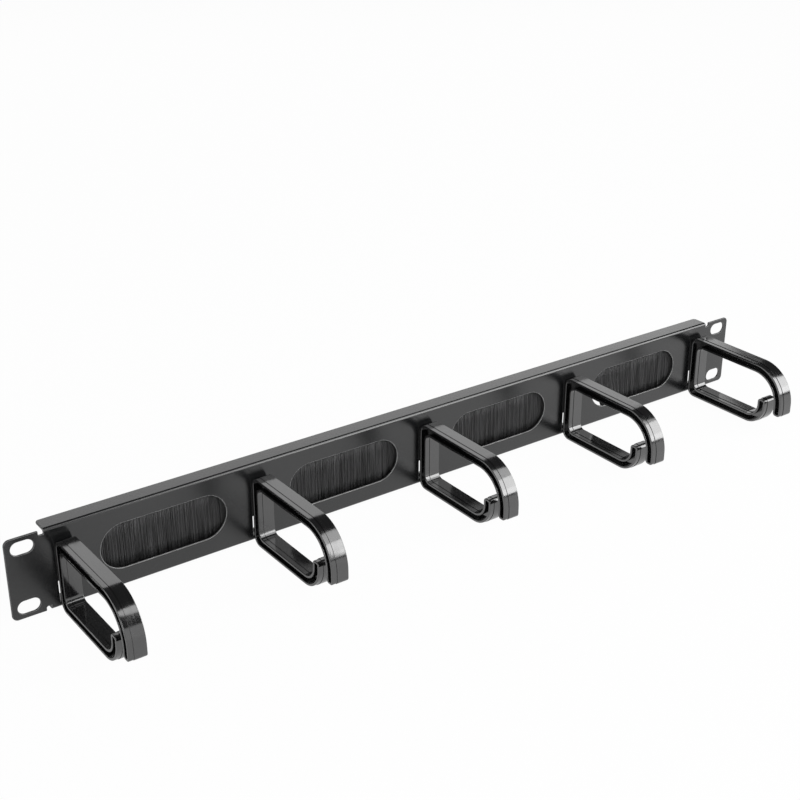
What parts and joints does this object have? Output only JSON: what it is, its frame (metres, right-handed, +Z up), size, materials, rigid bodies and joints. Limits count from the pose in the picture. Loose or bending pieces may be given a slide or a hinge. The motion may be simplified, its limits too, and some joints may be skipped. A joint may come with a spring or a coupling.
{
  "type": "horizontal cable manager",
  "caption": "Rack-mount horizontal cable manager: a flanged steel panel with brush-backed obround openings and open D-shaped plastic rings along its front.",
  "frame": {"origin": "on the panel's front face, at the centre of the four rack slots", "axes": "+X along the panel to the right as the user sees it, +Y through the panel into the rack, +Z up"},
  "size_m": [0.4826, 0.0844, 0.046],
  "materials": {
    "panel_powder_coat": "semi-gloss black powder coat with a fine texture",
    "ring_plastic": "glossy black moulded plastic",
    "bristle_nylon": "black crimped filaments with a dull sheen",
    "galvanised_channel": "galvanised, dull",
    "core_wire_steel": "drawn wire",
    "foam_tape": "matt black adhesive foam"
  },
  "bodies": {
    "root": {"panel": "panel_powder_coat", "cable_ring_1": "ring_plastic", "cable_ring_2": "ring_plastic", "cable_ring_3": "ring_plastic", "cable_ring_4": "ring_plastic", "cable_ring_5": "ring_plastic", "brush_tape_1": "foam_tape", "brush_channel_1": "galvanised_channel", "brush_core_wire_1": "core_wire_steel", "brush_bristles_1": "bristle_nylon", "brush_tape_2": "foam_tape", "brush_channel_2": "galvanised_channel", "brush_core_wire_2": "core_wire_steel", "brush_bristles_2": "bristle_nylon", "brush_tape_3": "foam_tape", "brush_channel_3": "galvanised_channel", "brush_core_wire_3": "core_wire_steel", "brush_bristles_3": "bristle_nylon", "brush_tape_4": "foam_tape", "brush_channel_4": "galvanised_channel", "brush_core_wire_4": "core_wire_steel", "brush_bristles_4": "bristle_nylon"}
  },
  "joints": []
}
